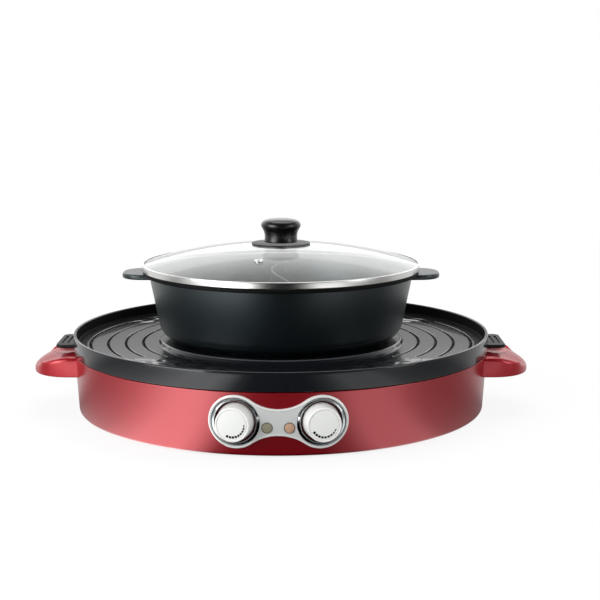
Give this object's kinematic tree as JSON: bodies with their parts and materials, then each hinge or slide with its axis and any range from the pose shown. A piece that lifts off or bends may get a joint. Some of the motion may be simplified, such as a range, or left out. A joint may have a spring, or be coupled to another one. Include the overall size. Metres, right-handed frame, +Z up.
{
  "type": "electric table grill with hot pot",
  "caption": "Round electric table grill with a grooved cast plate around a lidded hot pot that an S-shaped wall divides, on a red base with a control panel and two handles.",
  "frame": {"origin": "on the table surface that the four feet stand on, on the common axis of base, plate, pot and lid", "axes": "+Z up along that axis, -Y towards the control panel, +X towards the right handle as seen from the front"},
  "size_m": [0.5258, 0.4525, 0.2025],
  "materials": {
    "red_shell": "deep red gloss",
    "red_handle": "red gloss",
    "coated_steel": "dark coated sheet",
    "foot_rubber": "matt",
    "sheet_steel": "plain sheet",
    "heater_sheath": "heat-darkened sheath",
    "cast_aluminium": "machined casting",
    "black_coating": "black non-stick coating on cast aluminium",
    "silver_plastic": "silver satin",
    "white_plastic": "pearl white gloss",
    "black_plastic": "black gloss",
    "thermoset": "moulded thermoset",
    "dark_chrome": "dark chrome",
    "olive_lens": "tinted lens",
    "amber_lens": "tinted lens",
    "lamp_glass": "clear",
    "lid_glass": "clear tempered glass",
    "polished_steel": "polished stainless steel",
    "silicone": "translucent grey"
  },
  "bodies": {
    "base": {"base_housing": "red_shell", "left_handle": "red_handle", "right_handle": "red_handle", "bottom_cover": "coated_steel", "foot_1": "foot_rubber", "foot_2": "foot_rubber", "foot_3": "foot_rubber", "foot_4": "foot_rubber", "reflector_pan": "sheet_steel", "grill_heater": "heater_sheath", "heater_clip_1": "sheet_steel", "heater_clip_2": "sheet_steel", "heater_clip_3": "sheet_steel", "heater_clip_4": "sheet_steel", "pot_hotplate": "cast_aluminium", "hotplate_collar": "sheet_steel", "control_panel": "silver_plastic", "left_bezel": "dark_chrome", "right_bezel": "dark_chrome", "left_lens": "olive_lens", "right_lens": "amber_lens", "left_lamp": "lamp_glass", "right_lamp": "lamp_glass", "left_thermostat": "thermoset", "right_thermostat": "thermoset", "thermal_cutout": "thermoset", "terminal_block": "white_plastic", "power_inlet": "black_plastic"},
    "left_control": {"left_knob": "white_plastic", "left_knob_disc": "silver_plastic", "left_shaft": "sheet_steel"},
    "right_control": {"right_knob": "white_plastic", "right_knob_disc": "silver_plastic", "right_shaft": "sheet_steel"},
    "plate": {"grill_plate": "black_coating"},
    "pot": {"hot_pot": "black_coating"},
    "lid": {"lid_glass": "lid_glass", "lid_band": "polished_steel", "lid_knob_disc": "polished_steel", "lid_knob": "black_plastic", "lid_screw": "polished_steel", "lid_washer": "silicone", "vent_eyelet": "polished_steel"}
  },
  "joints": [
    {"name": "plate_lift", "type": "slide", "parent": "base", "child": "plate", "axis": [0, 0, 1], "range_m": [0, 0.15]},
    {"name": "pot_lift", "type": "slide", "parent": "plate", "child": "pot", "axis": [0, 0, 1], "range_m": [0, 0.2]},
    {"name": "lid_lift", "type": "slide", "parent": "pot", "child": "lid", "axis": [0, 0, 1], "range_m": [0, 0.15]},
    {"name": "left_knob_turn", "type": "hinge", "parent": "base", "child": "left_control", "pos_m": [-0.03987, -0.21387, 0.0363], "axis": [0.1833, 0.9831, 0], "range_deg": [0, 270]},
    {"name": "right_knob_turn", "type": "hinge", "parent": "base", "child": "right_control", "pos_m": [0.03987, -0.21387, 0.0363], "axis": [-0.1833, 0.9831, 0], "range_deg": [0, 270]}
  ]
}
